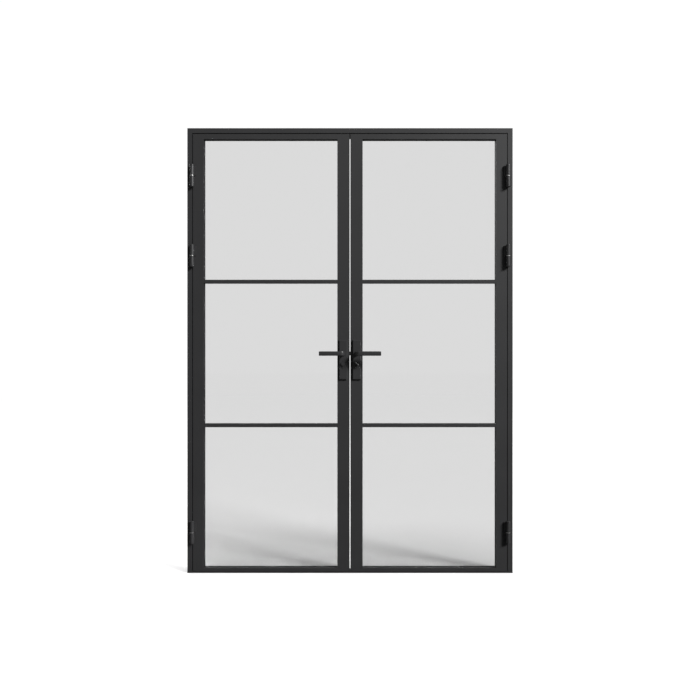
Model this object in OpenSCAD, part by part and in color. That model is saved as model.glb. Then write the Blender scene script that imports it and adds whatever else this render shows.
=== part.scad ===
// Pair of glazed french doors hung in their own slim metal frame.
// Right leaf is the active one (latch, deadbolt, thumb-turn); the left leaf is held by shoot bolts.
// Frame of reference: millimetres, +Z up, fronts face -Y, +X to the right.
// Origin: middle of the width, middle of the leaf thickness, underside of the threshold.

/* [Overall] */
// Width over the outside of the frame
frame_w = 1536; // [1200:1:1900]
// Height over the outside of the frame
frame_h = 2100; // [1750:1:2520]
// Thickness of each leaf, front to back
leaf_t = 40; // [38:0.5:50]

/* [Frame] */
// Width of the jambs and head seen from the front
jamb_face = 23; // [18:0.5:60]
// How far the stop stands past the jamb face, behind the leaf
stop_w = 12; // [9:0.5:25]
// Depth of the stop, front to back
stop_depth = 16.5; // [14:0.5:30]
// Wall of the hollow frame sections
frame_wall = 2; // [1.5:0.1:3]
// Thickness of the threshold plate
threshold_h = 5; // [4:0.5:20]
// Space for the seal between the back of a leaf and the stop
seal_gap = 3.5; // [3:0.1:6]
// Diameter of the holes for the frame fixings
fixing_d = 9; // [6:0.5:11]

/* [Gaps] */
// Gap between a leaf and its jamb
side_gap = 3.3; // [2.5:0.1:6]
// Gap between the leaves and the head
head_gap = 4.2; // [4:0.1:8]
// Gap between the leaves and the threshold
floor_gap = 3; // [2:0.1:10]
// Gap between the two leaves
meeting_gap = 3.4; // [3.4:0.1:6]

/* [Leaf] */
// Face width of the stile that carries the hinges
hinge_stile_w = 52; // [40:0.5:90]
// Face width of the stile at the meeting edge
meeting_stile_w = 58; // [57:0.5:90]
// Face height of the top rail
top_rail_h = 24; // [18:0.5:90]
// Face height of the bottom rail
bottom_rail_h = 15.5; // [14:0.5:200]
// Face height of the two glazing bars
bar_w = 16; // [15:0.5:50]
// Wall of the hollow leaf sections
leaf_wall = 2; // [1.5:0.1:2.5]
// Wall along the meeting edge, which takes the faceplate and the strike
edge_wall = 4; // [3.5:0.1:5]

/* [Glazing] */
// Thickness of the laminated glass
glass_t = 8; // [6:0.5:14]
// Depth of the groove that the glass sits in
rebate = 6; // [5:0.5:6.5]
// Thickness of the rubber on each side of the glass
gasket_t = 3; // [2:0.5:4]

/* [Hinges] */
// Radius of the hinge barrels
barrel_r = 10; // [8:0.5:10.5]
// Length of a hinge barrel
barrel_len = 104; // [80:1:140]
// Radius of the hinge pins
pin_r = 5; // [4:0.5:6]
// Thickness of the bright washer in the middle of a hinge
washer_t = 3; // [2:0.5:5]
// Height of the top hinge, down from the top of the leaf
top_hinge_drop = 199; // [120:1:400]
// Distance from the top hinge down to the second one
second_hinge_drop = 377; // [200:1:700]
// Height of the bottom hinge above the bottom of the leaf
bottom_hinge_rise = 186; // [120:1:400]

/* [Handles] */
// Height of the levers above the floor
lever_z = 1036; // [950:1:1150]
// Distance from a leaf's meeting edge to the lever axis
backset = 30.3; // [29:0.1:31]
// Width of the handle plates
plate_w = 40; // [36:0.5:46]
// Height of the handle plates
plate_h = 187; // [180:1:260]
// Thickness of the handle plates
plate_t = 9; // [7:0.5:12]
// Distance from the top of a plate down to the lever axis
plate_above = 64; // [58:1:75]
// Length of a lever from its axis to its tip
lever_len = 113; // [90:1:150]
// Height of the lever bar
lever_bar_h = 20.5; // [14:0.5:26]
// Thickness of the lever bar
lever_bar_t = 12; // [8:0.5:16]
// Distance from the leaf face to the front of the lever bar
lever_reach = 60; // [50:1:75]
// Radius of the round lever neck
neck_r = 9.5; // [8:0.5:10]
// Width of the square spindle
spindle_w = 8; // [7:0.5:9]

/* [Lock] */
// Distance from the lever axis down to the cylinder
cylinder_drop = 48; // [44:0.5:52]
// Height of the lock case and of the gearbox
case_h = 128; // [126:1:134]
// Thickness of the lock case and of the gearbox
case_t = 16; // [14:0.5:20]
// How far the latch stands out of the meeting edge
latch_throw = 10; // [8:0.5:10.5]
// How far the deadbolt travels
deadbolt_throw = 14; // [10:0.5:15]
// Radius of the shoot bolts
bolt_r = 6; // [5:0.5:7]
// Travel of the shoot bolts
bolt_throw = 16; // [14:0.5:18]

/* [Hidden] */
$fn = 48;
eps = 0.01; // how far a cut runs past the face it opens

// Colours
coat = "#3a3a3b";
bare_steel = "#b9bab8";
polished = "#dcdcdc";
glass_tint = [0.86, 0.88, 0.88, 0.4];
rubber_black = "#1c1c1c";

// Clearances
slip = 0.2;       // pieces that drop into a recess
running = 0.05;   // a shaft that turns or slides in its bore
soft_gap = 0.3;   // between a seal and the leaf that presses it

// Depth positions
front_y = -leaf_t / 2;
back_y = leaf_t / 2;
stop_y = back_y + seal_gap;
frame_back_y = stop_y + stop_depth;
glass_front_y = -glass_t / 2;
glass_back_y = glass_t / 2;
lip_y = glass_front_y - gasket_t;
bead_y = glass_back_y + gasket_t;

// Widths and heights
inside_w = frame_w / 2 - jamb_face;
leaf_x0 = meeting_gap / 2;
leaf_x1 = inside_w - side_gap;
soffit_z = frame_h - jamb_face;
leaf_z0 = threshold_h + floor_gap;
leaf_z1 = soffit_z - head_gap;
leaf_h = leaf_z1 - leaf_z0;

// Glass openings as seen between the faces
sight_x0 = leaf_x0 + meeting_stile_w;
sight_x1 = leaf_x1 - hinge_stile_w;
sight_z0 = leaf_z0 + bottom_rail_h;
sight_z1 = leaf_z1 - top_rail_h;
lite_h = (sight_z1 - sight_z0 - 2 * bar_w) / 3;
lite_pitch = lite_h + bar_w;
lite_z = [for (i = [0:2]) sight_z0 + i * lite_pitch];
edge_cover = rebate - 1;

// Hinges
barrel_gap = 0.5;
barrel_offset = 1.1; // barrels stand this far past the middle of the side gap, towards the jamb
hinge_x = inside_w - side_gap / 2 + barrel_offset;
hinge_y = front_y - barrel_r - barrel_gap;
hinge_z = [leaf_z1 - top_hinge_drop,
           leaf_z1 - top_hinge_drop - second_hinge_drop,
           leaf_z0 + bottom_hinge_rise];
knuckle_len = (barrel_len - washer_t) / 2;
pin_hold = 36;      // length of pin inside each knuckle
knuckle_edge = 1.5; // rounding of the closed end
cap_h = 4;          // from the closed end to the groove round the knuckle
groove = 0.6;
wing_w = 15;
wing_t = 6;
wing_bite = 1;       // how far a wing runs into its barrel
wing_gap = 0.5;      // from the frame's wing to the corner of the jamb
ring_step = 0.4;     // the washer is this much smaller than the barrel
pin_play = 1;        // from the end of a pin to the bottom of the upper knuckle

// Lock and handles
lever_x = leaf_x0 + backset;
cylinder_z = lever_z - cylinder_drop;
plate_z1 = lever_z + plate_above;
plate_z0 = plate_z1 - plate_h;
plate_bolt_inset = 13;
plate_bolt_z = [plate_z0 + plate_bolt_inset, plate_z1 - plate_bolt_inset];
plate_bolt_r = 2.5;
plate_bolt_head_r = 5;
plate_bolt_skin = 3; // metal left in front of a bolt's tapped hole
plate_bolt_stop = 4; // a bolt ends this far behind the face of the front plate
plate_bevel = 3;
plate_corner_r = 2;
plate_y = front_y - plate_t;
rose_wall = 3;
rose_r = neck_r + rose_wall;
rose_h = 2;
neck_bite = 1;       // the neck starts this far inside the front of the lever bar
bar_y = front_y - lever_reach;
neck_inset = 3;      // how far the lever neck goes into the plate
neck_y = plate_y + neck_inset;
lever_corner_r = 2.5;
socket_depth = 26;
socket_play = 2;     // from the end of the spindle to the bottom of the socket
spindle_reach = -neck_y + socket_depth - socket_play;
bore_play = 0.5;     // round what passes through a stile
case_below = 40;     // height of the case below the cylinder
case_z0 = cylinder_z - case_below;
case_z1 = case_z0 + case_h;
case_wall = 1.5;
edge_screw_hold = 6; // length of thread behind the meeting edge's wall
web_x = leaf_x0 + meeting_stile_w - rebate - leaf_wall;
strike_depth = 14;
faceplate_w = 20;
faceplate_t = 2;
faceplate_h = 208;
faceplate_z0 = (case_z0 + case_z1 - faceplate_h) / 2;
face_screw_inset = 10;
face_screw_r = 2;
face_screw_head_r = 3.6;
face_screw_z = [faceplate_z0 + face_screw_inset, faceplate_z0 + faceplate_h - face_screw_inset];
follower_r = 9;
follower_trunnion_r = 7;
latch_h = 18;
latch_t = 12;
latch_front = 2;     // flat at the front of the latch nose
latch_clear = 1;     // from the drawn latch to the follower
deadbolt_h = 24;
deadbolt_hold = 6;   // length of the thrown deadbolt that stays in the case
cylinder_r = 8.5;
cylinder_leg_w = 10;
cylinder_leg_h = 24;
cylinder_proud = 1.5; // how far a cylinder stands out of the plates
cap_over = 1;         // the round caps are this much larger than the cylinder
turn_stem_r = 3;
turn_stem_len = 21;   // length of the thumb-turn's stem inside the plate
rod_r = 4;
rod_clear = 1;        // from a shoot bolt's rod to the cylinder
rod_hold = 10;        // length of rod inside the gearbox
bolt_x = lever_x - cylinder_leg_w / 2 - rod_r - rod_clear;
bolt_len = 60;        // length of the thick end of a shoot bolt
bolt_hide = 4;        // a withdrawn bolt sits this far inside the leaf
bolt_floor_gap = 0.5; // from the lower shoot bolt down to the floor
guide_h = 20;
guide_inset = 2;      // from a guide to the end of the stile
keeper_t = 2;
keeper_len = 48;
keeper_w = 20;
keeper_play = 0.5;    // round a shoot bolt in its keeper
head_bolt_play = 2;   // round a shoot bolt in the wall of the head
keeper_screw_dx = [-17, 17];
keeper_screw_r = 2;
keeper_screw_len = 11;
floor_keeper_wall = 3;
floor_keeper_r = bolt_r + floor_keeper_wall;

// Frame fixings
fixing_y = (stop_y + frame_back_y) / 2;
fixing_outer_z = [frame_h * 0.1, frame_h * 0.9];
fixing_inner_z = [frame_h * 0.36, frame_h * 0.64];
fixing_head_x = [-frame_w * 0.26, frame_w * 0.26];

// ---------- helpers ----------

// Everything is drawn for the right-hand side, and the left is its mirror image.
module left_side() {
    mirror([1, 0, 0]) children();
}

// A box from its low corner to its high corner
module block(low, high) {
    translate(low) cube(high - low);
}

// A round rod along Y
module rod_y(x, z, y0, y1, r) {
    translate([x, y0, z]) rotate([-90, 0, 0]) cylinder(h = y1 - y0, r = r);
}

// A round rod along X
module rod_x(x0, x1, y, z, r) {
    translate([x0, y, z]) rotate([0, 90, 0]) cylinder(h = x1 - x0, r = r);
}

// Outline in X and Z pushed along Y
module extrude_y(y0, y1) {
    translate([0, y1, 0]) rotate([90, 0, 0]) linear_extrude(height = y1 - y0) children();
}

// Outline in Y and Z pushed along X
module extrude_x(x0, x1) {
    translate([x0, 0, 0]) rotate([90, 0, 90]) linear_extrude(height = x1 - x0) children();
}

// Rectangle between two corners with rounded corners
module rounded(low, high, r) {
    translate(low + [r, 0]) square([high[0] - low[0] - 2 * r, high[1] - low[1]]);
    translate(low + [0, r]) square([high[0] - low[0], high[1] - low[1] - 2 * r]);
    for (x = [low[0] + r, high[0] - r]) {
        for (z = [low[1] + r, high[1] - r]) {
            translate([x, z]) circle(r = r);
        }
    }
}

// Countersunk screw along Y: the head's flat face is at y, the shank runs in the direction dir
module screw_y(x, z, y, dir, shank_r, head_r, length) {
    translate([x, y, z]) rotate([-90 * dir, 0, 0]) {
        cylinder(h = head_r - shank_r, r1 = head_r, r2 = shank_r);
        cylinder(h = length, r = shank_r);
    }
}

// Countersunk screw along X, into the leaf
module screw_x(x, y, z, shank_r, head_r, length) {
    translate([x, y, z]) rotate([0, 90, 0]) {
        cylinder(h = head_r - shank_r, r1 = head_r, r2 = shank_r);
        cylinder(h = length, r = shank_r);
    }
}

// ---------- frame ----------

// Hollow section of the frame, across from the outside inwards
module frame_section() {
    difference() {
        polygon([[0, front_y], [jamb_face, front_y], [jamb_face, stop_y], [jamb_face + stop_w, stop_y],
                 [jamb_face + stop_w, frame_back_y], [0, frame_back_y]]);
        polygon([[frame_wall, front_y + frame_wall],
                 [jamb_face - frame_wall, front_y + frame_wall],
                 [jamb_face - frame_wall, stop_y + frame_wall],
                 [jamb_face + stop_w - frame_wall, stop_y + frame_wall],
                 [jamb_face + stop_w - frame_wall, frame_back_y - frame_wall],
                 [frame_wall, frame_back_y - frame_wall]]);
    }
}

module jamb() {
    color(coat) difference() {
        translate([frame_w / 2, 0, 0]) mirror([1, 0, 0]) linear_extrude(height = frame_h) frame_section();
        for (z = concat(fixing_outer_z, fixing_inner_z)) {
            rod_x(inside_w - stop_w - 1, frame_w / 2 + 1, fixing_y, z, fixing_d / 2);
        }
    }
}

module right_jamb() {
    jamb();
}

module left_jamb() {
    left_side() jamb();
}

// Head, standing between the jambs and cut round their stops
module head() {
    color(coat) difference() {
        extrude_x(-inside_w, inside_w) translate([0, frame_h]) rotate(-90) frame_section();
        for (side = [-1, 1]) {
            translate([side * (inside_w - stop_w / 2), (stop_y + frame_back_y) / 2, frame_h - jamb_face / 2])
                cube([stop_w, stop_depth, 4 * jamb_face], center = true);
        }
        for (x = fixing_head_x) {
            translate([x, fixing_y, soffit_z - stop_w - 1])
                cylinder(h = jamb_face + stop_w + 2, r = fixing_d / 2);
        }
        translate([-bolt_x, 0, soffit_z - 1]) cylinder(h = frame_wall + 2, r = bolt_r + head_bolt_play);
        for (dx = keeper_screw_dx) keeper_screw(dx, slip);
    }
}

// Threshold plate, cut round the stops of the jambs
module threshold() {
    color(coat) difference() {
        linear_extrude(height = threshold_h) polygon([
            [-inside_w, front_y], [inside_w, front_y], [inside_w, stop_y],
            [inside_w - stop_w, stop_y], [inside_w - stop_w, frame_back_y],
            [-inside_w + stop_w, frame_back_y], [-inside_w + stop_w, stop_y], [-inside_w, stop_y]]);
        translate([-bolt_x, 0, -1]) cylinder(h = threshold_h + 2, r = floor_keeper_r);
    }
}

// Keys inside the ends of the head, screwed to the jambs
module frame_corner_keys() {
    key_len = 40;
    color(bare_steel) for (side = [0, 1]) mirror([side, 0, 0]) {
        block([inside_w - key_len, front_y + frame_wall + slip, soffit_z + frame_wall + slip],
              [inside_w, stop_y - slip, frame_h - frame_wall - slip]);
    }
}

// Rubber strips on the front of the stops
module frame_seals() {
    inset = 1;
    seal_w = stop_w - side_gap - inset;
    color(rubber_black) {
        for (side = [0, 1]) mirror([side, 0, 0]) {
            block([inside_w - stop_w + inset, back_y + soft_gap, threshold_h],
                  [inside_w - stop_w + inset + seal_w, stop_y, soffit_z - stop_w]);
        }
        block([-inside_w + stop_w, back_y + soft_gap, soffit_z - stop_w + inset],
              [inside_w - stop_w, stop_y, soffit_z - stop_w + inset + seal_w]);
    }
}

// Countersunk screw holding the head keeper, or its hole when grown by a clearance
module keeper_screw(dx, grow) {
    below = grow > 0 ? eps : 0;
    translate([-bolt_x + dx, 0, soffit_z - keeper_t - below]) {
        cylinder(h = keeper_t, r1 = keeper_screw_r + keeper_t + grow, r2 = keeper_screw_r + grow);
        cylinder(h = keeper_screw_len, r = keeper_screw_r + grow);
    }
}

// Plate under the head that the upper shoot bolt enters
module head_keeper() {
    color(bare_steel) difference() {
        block([-bolt_x - keeper_len / 2, -keeper_w / 2, soffit_z - keeper_t],
              [-bolt_x + keeper_len / 2, keeper_w / 2, soffit_z]);
        translate([-bolt_x, 0, soffit_z - keeper_t - 1]) cylinder(h = keeper_t + 2, r = bolt_r + keeper_play);
        for (dx = keeper_screw_dx) keeper_screw(dx, slip);
    }
}

module head_keeper_screws() {
    color(bare_steel) for (dx = keeper_screw_dx) keeper_screw(dx, 0);
}

// Sleeve in the threshold that the lower shoot bolt enters
module floor_keeper() {
    color(bare_steel) translate([-bolt_x, 0, 0]) difference() {
        cylinder(h = threshold_h, r = floor_keeper_r);
        translate([0, 0, -1]) cylinder(h = threshold_h + 2, r = bolt_r + keeper_play);
    }
}

// ---------- hinges ----------

// Turned knuckle standing on z = 0, open at z = 0, closed and rounded at the far end
module knuckle(bore_r) {
    rotate_extrude() difference() {
        union() {
            square([barrel_r, knuckle_len - knuckle_edge]);
            square([barrel_r - knuckle_edge, knuckle_len]);
            translate([barrel_r - knuckle_edge, knuckle_len - knuckle_edge]) circle(r = knuckle_edge);
        }
        translate([-1, -1]) square([bore_r + 1, pin_hold + 1]);
        translate([barrel_r - groove, knuckle_len - cap_h - 1]) square([groove + 1, 1]);
    }
}

// Lower half of each hinge, on the jamb
module frame_hinge_knuckles() {
    color(coat) for (side = [0, 1]) mirror([side, 0, 0]) for (z = hinge_z) {
        translate([hinge_x, hinge_y, z - washer_t / 2]) mirror([0, 0, 1]) knuckle(pin_r);
        difference() {
            block([inside_w + wing_gap, front_y - wing_t, z - washer_t / 2 - knuckle_len + cap_h + 1],
                  [inside_w + wing_w, front_y, z - washer_t / 2]);
            translate([hinge_x, hinge_y, z - barrel_len])
                cylinder(h = barrel_len * 2, r = barrel_r - wing_bite);
        }
    }
}

// Upper half of each hinge, on the leaf
module leaf_hinge_knuckles() {
    color(coat) for (z = hinge_z) {
        translate([hinge_x, hinge_y, z + washer_t / 2]) knuckle(pin_r + running);
        difference() {
            block([leaf_x1 - wing_w, front_y - wing_t, z + washer_t / 2],
                  [leaf_x1, front_y, z + washer_t / 2 + knuckle_len - cap_h - 1]);
            translate([hinge_x, hinge_y, z - barrel_len])
                cylinder(h = barrel_len * 2, r = barrel_r - wing_bite);
        }
    }
}

module left_hinge_knuckles() {
    left_side() leaf_hinge_knuckles();
}

module right_hinge_knuckles() {
    leaf_hinge_knuckles();
}

module hinge_pins() {
    color(polished) for (side = [0, 1]) mirror([side, 0, 0]) for (z = hinge_z) {
        translate([hinge_x, hinge_y, z - washer_t / 2 - pin_hold])
            cylinder(h = 2 * pin_hold + washer_t - pin_play, r = pin_r);
    }
}

module hinge_washers() {
    color(polished) for (side = [0, 1]) mirror([side, 0, 0]) for (z = hinge_z) {
        translate([hinge_x, hinge_y, z - washer_t / 2]) difference() {
            cylinder(h = washer_t, r = barrel_r - ring_step);
            translate([0, 0, -1]) cylinder(h = washer_t + 2, r = pin_r);
        }
    }
}

// ---------- leaf sections ----------

// Hollow section with its glazing groove at the far side; across runs from the plain edge to the glass.
// The groove is open towards the back, where the bead closes it.
module glazed_section(width, edge) {
    difference() {
        polygon([[0, front_y], [width, front_y], [width, lip_y], [width - rebate, lip_y],
                 [width - rebate, back_y], [0, back_y]]);
        polygon([[edge, front_y + leaf_wall],
                 [width - leaf_wall, front_y + leaf_wall],
                 [width - leaf_wall, lip_y - leaf_wall],
                 [width - rebate - leaf_wall, lip_y - leaf_wall],
                 [width - rebate - leaf_wall, back_y - leaf_wall],
                 [edge, back_y - leaf_wall]]);
    }
}

module hinge_stile() {
    color(coat) translate([leaf_x1, 0, leaf_z0]) mirror([1, 0, 0])
        linear_extrude(height = leaf_h) glazed_section(hinge_stile_w, leaf_wall);
}

// Outline of the cylinder in X and Z, with a clearance all round
module cylinder_outline(grow) {
    translate([lever_x, cylinder_z]) {
        circle(r = cylinder_r + grow);
        translate([-cylinder_leg_w / 2 - grow, -cylinder_leg_h + cylinder_leg_w / 2])
            square([cylinder_leg_w + 2 * grow, cylinder_leg_h - cylinder_leg_w / 2]);
        translate([0, -cylinder_leg_h + cylinder_leg_w / 2]) circle(r = cylinder_leg_w / 2 + grow);
    }
}

// Meeting stile, bored for the handle set and slotted along its edge for the lock or the strike
module meeting_stile(pocket_z0, pocket_z1) {
    color(coat) difference() {
        translate([leaf_x0, 0, leaf_z0]) linear_extrude(height = leaf_h)
            glazed_section(meeting_stile_w, edge_wall);
        rod_y(lever_x, lever_z, front_y - 1, back_y + 1, neck_r + bore_play);
        extrude_y(front_y - 1, back_y + 1) cylinder_outline(bore_play);
        for (z = plate_bolt_z) {
            rod_y(lever_x, z, front_y - 1, back_y + 1, plate_bolt_r + bore_play);
        }
        block([leaf_x0 - 1, -faceplate_w / 2 - slip, faceplate_z0 - slip],
              [leaf_x0 + faceplate_t, faceplate_w / 2 + slip, faceplate_z0 + faceplate_h + slip]);
        block([leaf_x0 - 1, -case_t / 2 - slip, pocket_z0 - slip],
              [leaf_x0 + edge_wall + 1, case_t / 2 + slip, pocket_z1 + slip]);
        for (z = face_screw_z) {
            rod_x(leaf_x0 - 1, leaf_x0 + edge_wall + 1, 0, z, face_screw_r);
        }
    }
}

// Rail between the stiles, its ends cut round the glazing lips; height from the plain edge to the glass
module rail(height) {
    difference() {
        extrude_x(sight_x0 - rebate, sight_x1 + rebate)
            rotate(90) mirror([0, 1]) glazed_section(height, leaf_wall);
        for (x = [sight_x0 - rebate - 1, sight_x1]) {
            block([x, front_y - 1, -1], [x + rebate + 1, lip_y, height + 1]);
        }
    }
}

module bottom_rail() {
    color(coat) translate([0, 0, leaf_z0]) rail(bottom_rail_h);
}

module top_rail() {
    color(coat) translate([0, 0, leaf_z1]) mirror([0, 0, 1]) rail(top_rail_h);
}

// Solid tee bars: the flange is in front and the web stands between two panes
module glazing_bars() {
    color(coat) for (z = [lite_z[1] - bar_w, lite_z[2] - bar_w]) {
        block([sight_x0, front_y, z], [sight_x1, lip_y, z + bar_w]);
        block([sight_x0 - rebate, lip_y, z + rebate], [sight_x1 + rebate, back_y, z + bar_w - rebate]);
    }
}

// Blocks inside the ends of the rails, screwed to the stiles
module corner_cleats() {
    cleat_len = 30;
    color(bare_steel) {
        for (x = [sight_x0 - rebate, sight_x1 + rebate - cleat_len]) {
            block([x, lip_y + slip, leaf_z0 + leaf_wall + slip],
                  [x + cleat_len, back_y - leaf_wall - slip, sight_z0 - rebate - leaf_wall - slip]);
            block([x, lip_y + slip, sight_z1 + rebate + leaf_wall + slip],
                  [x + cleat_len, back_y - leaf_wall - slip, leaf_z1 - leaf_wall - slip]);
        }
    }
}

// ---------- glazing ----------

module panes() {
    color(glass_tint) for (z = lite_z) {
        block([sight_x0 - edge_cover, glass_front_y, z - edge_cover],
              [sight_x1 + edge_cover, glass_back_y, z + lite_h + edge_cover]);
    }
}

// Bead across the groove, clear of its floor, with a small bevel at the sight line
module bead_outline() {
    bead_w = rebate - slip;
    bevel = 1;
    polygon([[slip, bead_y], [bead_w, bead_y], [bead_w, back_y - bevel],
             [bead_w - bevel, back_y], [slip, back_y]]);
}

// Four beads round each pane, on the back of the leaf
module glazing_beads() {
    color(coat) for (z = lite_z) {
        low_z = z - rebate;
        high_z = z + lite_h + rebate;
        upright_len = lite_h + 2 * (rebate - slip);
        translate([sight_x0 - rebate, 0, low_z + slip]) linear_extrude(height = upright_len) bead_outline();
        translate([sight_x1 + rebate, 0, low_z + slip]) mirror([1, 0, 0])
            linear_extrude(height = upright_len) bead_outline();
        extrude_x(sight_x0, sight_x1) translate([0, low_z]) rotate(90) mirror([0, 1]) bead_outline();
        extrude_x(sight_x0, sight_x1) translate([0, high_z]) rotate(-90) bead_outline();
    }
}

// Rubber round both sides of each pane
module glazing_gaskets() {
    inset = 0.5;
    color(rubber_black) for (z = lite_z) for (y = [lip_y, glass_back_y]) {
        difference() {
            block([sight_x0 - rebate + inset, y, z - rebate + inset],
                  [sight_x1 + rebate - inset, y + gasket_t, z + lite_h + rebate - inset]);
            block([sight_x0 - inset, y - 1, z - inset],
                  [sight_x1 + inset, y + gasket_t + 1, z + lite_h + inset]);
        }
    }
}

// ---------- handles ----------

// Handle plate in front of the leaf, bevelled all round, with a raised ring round the lever neck
module plate_body() {
    difference() {
        union() {
            intersection() {
                extrude_y(plate_y, front_y)
                    rounded([lever_x - plate_w / 2, plate_z0],
                            [lever_x + plate_w / 2, plate_z1], plate_corner_r);
                translate([lever_x, 0, plate_z0 - 1]) linear_extrude(height = plate_h + 2)
                    plate_profile(plate_w / 2);
                extrude_x(lever_x - plate_w, lever_x + plate_w) translate([0, (plate_z0 + plate_z1) / 2])
                    rotate(90) mirror([0, 1]) plate_profile(plate_h / 2);
            }
            rod_y(lever_x, lever_z, plate_y - rose_h, plate_y + 1, rose_r);
        }
        rod_y(lever_x, lever_z, plate_y - rose_h - 1, front_y + 1, neck_r + running);
        extrude_y(plate_y - 1, front_y + 1) cylinder_outline(slip);
    }
}

// Cross-section of a plate, given half its width
module plate_profile(half) {
    polygon([[-half, front_y], [half, front_y], [half, plate_y + plate_bevel],
             [half - plate_bevel, plate_y], [plate_bevel - half, plate_y], [-half, plate_y + plate_bevel]]);
}

// Front plate, tapped from behind for the bolts
module front_plate() {
    color(coat) difference() {
        plate_body();
        for (z = plate_bolt_z) {
            rod_y(lever_x, z, plate_y + plate_bolt_skin, front_y + 1, plate_bolt_r);
        }
    }
}

// Rear plate, countersunk for the bolts
module rear_plate() {
    color(coat) difference() {
        mirror([0, 1, 0]) plate_body();
        for (z = plate_bolt_z) {
            screw_y(lever_x, z, -plate_y + eps, -1,
                    plate_bolt_r + slip, plate_bolt_head_r + slip, plate_t + 1);
        }
    }
}

module plate_bolts() {
    color(bare_steel) for (z = plate_bolt_z) {
        screw_y(lever_x, z, -plate_y, -1, plate_bolt_r, plate_bolt_head_r,
                leaf_t + 2 * plate_t - plate_bolt_stop);
    }
}

// Lever in front of the leaf: a round neck with a square socket, and a flat bar
module lever() {
    difference() {
        union() {
            rod_y(lever_x, lever_z, bar_y + neck_bite, neck_y, neck_r);
            extrude_y(bar_y, bar_y + lever_bar_t)
                rounded([lever_x - neck_r, lever_z - lever_bar_h / 2],
                        [lever_x + lever_len, lever_z + lever_bar_h / 2], lever_corner_r);
        }
        block([lever_x - spindle_w / 2 - running, neck_y - socket_depth, lever_z - spindle_w / 2 - running],
              [lever_x + spindle_w / 2 + running, neck_y + 1, lever_z + spindle_w / 2 + running]);
    }
}

module front_lever() {
    color(coat) lever();
}

module rear_lever() {
    color(coat) mirror([0, 1, 0]) lever();
}

module spindle() {
    color(bare_steel) block([lever_x - spindle_w / 2, -spindle_reach, lever_z - spindle_w / 2],
                            [lever_x + spindle_w / 2, spindle_reach, lever_z + spindle_w / 2]);
}

// Follower that the spindle turns inside the case
module follower() {
    follower_half = case_t / 2 - case_wall - slip;
    color(bare_steel) difference() {
        union() {
            rod_y(lever_x, lever_z, -case_t / 2, case_t / 2, follower_trunnion_r);
            rod_y(lever_x, lever_z, -follower_half, follower_half, follower_r);
        }
        block([lever_x - spindle_w / 2 - running, -case_t, lever_z - spindle_w / 2 - running],
              [lever_x + spindle_w / 2 + running, case_t, lever_z + spindle_w / 2 + running]);
    }
}

// ---------- lock ----------

// Hollow case that stands against the web of the stile, with its bores for the follower and the cylinder
module case_body(x0) {
    difference() {
        block([x0, -case_t / 2, case_z0], [web_x, case_t / 2, case_z1]);
        block([x0 + case_wall, -case_t / 2 + case_wall, case_z0 + case_wall],
              [web_x - case_wall, case_t / 2 - case_wall, case_z1 - case_wall]);
        rod_y(lever_x, lever_z, -case_t, case_t, follower_trunnion_r + running);
        extrude_y(-case_t, case_t) cylinder_outline(slip);
    }
}

// Lock case of the active leaf, open at its edge for the latch and the deadbolt
module right_lock_case() {
    color(bare_steel) difference() {
        case_body(leaf_x0 + faceplate_t);
        lock_openings(leaf_x0 + faceplate_t - 1, leaf_x0 + faceplate_t + case_wall + 1, soft_gap);
    }
}

// Gearbox of the passive leaf, open above and below for the rods of the shoot bolts
module left_gearbox() {
    color(bare_steel) left_side() difference() {
        case_body(leaf_x0 + strike_depth + soft_gap);
        translate([bolt_x, 0, case_z0 - 1]) cylinder(h = case_wall + 2, r = rod_r + soft_gap);
        translate([bolt_x, 0, case_z1 - case_wall - 1]) cylinder(h = case_wall + 2, r = rod_r + soft_gap);
    }
}

// Windows for the latch and the deadbolt
module lock_openings(x0, x1, grow) {
    block([x0, -latch_t / 2 - grow, lever_z - latch_h / 2 - grow],
          [x1, latch_t / 2 + grow, lever_z + latch_h / 2 + grow]);
    block([x0, -latch_t / 2 - grow, cylinder_z - deadbolt_h / 2 - grow],
          [x1, latch_t / 2 + grow, cylinder_z + deadbolt_h / 2 + grow]);
}

// Strip along the meeting edge with its two screw holes
module edge_strip() {
    difference() {
        block([leaf_x0, -faceplate_w / 2, faceplate_z0],
              [leaf_x0 + faceplate_t, faceplate_w / 2, faceplate_z0 + faceplate_h]);
        for (z = face_screw_z) {
            screw_x(leaf_x0 - eps, 0, z, face_screw_r + slip, face_screw_head_r + slip, faceplate_t + 1);
        }
    }
}

module right_faceplate() {
    color(bare_steel) difference() {
        edge_strip();
        lock_openings(leaf_x0 - 1, leaf_x0 + faceplate_t + 1, soft_gap);
    }
}

// Strike of the passive leaf: a strip with a closed pocket behind it
module left_strike() {
    pocket_wall = 1.5;
    strike_play = 0.6;
    color(bare_steel) left_side() difference() {
        union() {
            edge_strip();
            block([leaf_x0 + faceplate_t / 2, -case_t / 2, case_z0],
                  [leaf_x0 + strike_depth, case_t / 2, case_z1]);
        }
        lock_openings(leaf_x0 - 1, leaf_x0 + strike_depth - pocket_wall, strike_play);
    }
}

// Screws that hold the strip along a meeting edge
module edge_screws() {
    color(bare_steel) for (z = face_screw_z) {
        screw_x(leaf_x0, 0, z, face_screw_r, face_screw_head_r,
                faceplate_t + edge_wall + edge_screw_hold);
    }
}

// Latch, nosed on its closing side; its tail stops short of the follower
module latch() {
    nose = latch_throw - 1;
    tail_x = lever_x - follower_r - latch_throw - latch_clear;
    color(bare_steel) translate([0, 0, lever_z - latch_h / 2]) linear_extrude(height = latch_h) polygon([
        [tail_x, -latch_t / 2], [tail_x, latch_t / 2], [leaf_x0 - latch_throw + nose, latch_t / 2],
        [leaf_x0 - latch_throw, -latch_t / 2 + latch_front], [leaf_x0 - latch_throw, -latch_t / 2]]);
}

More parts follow.
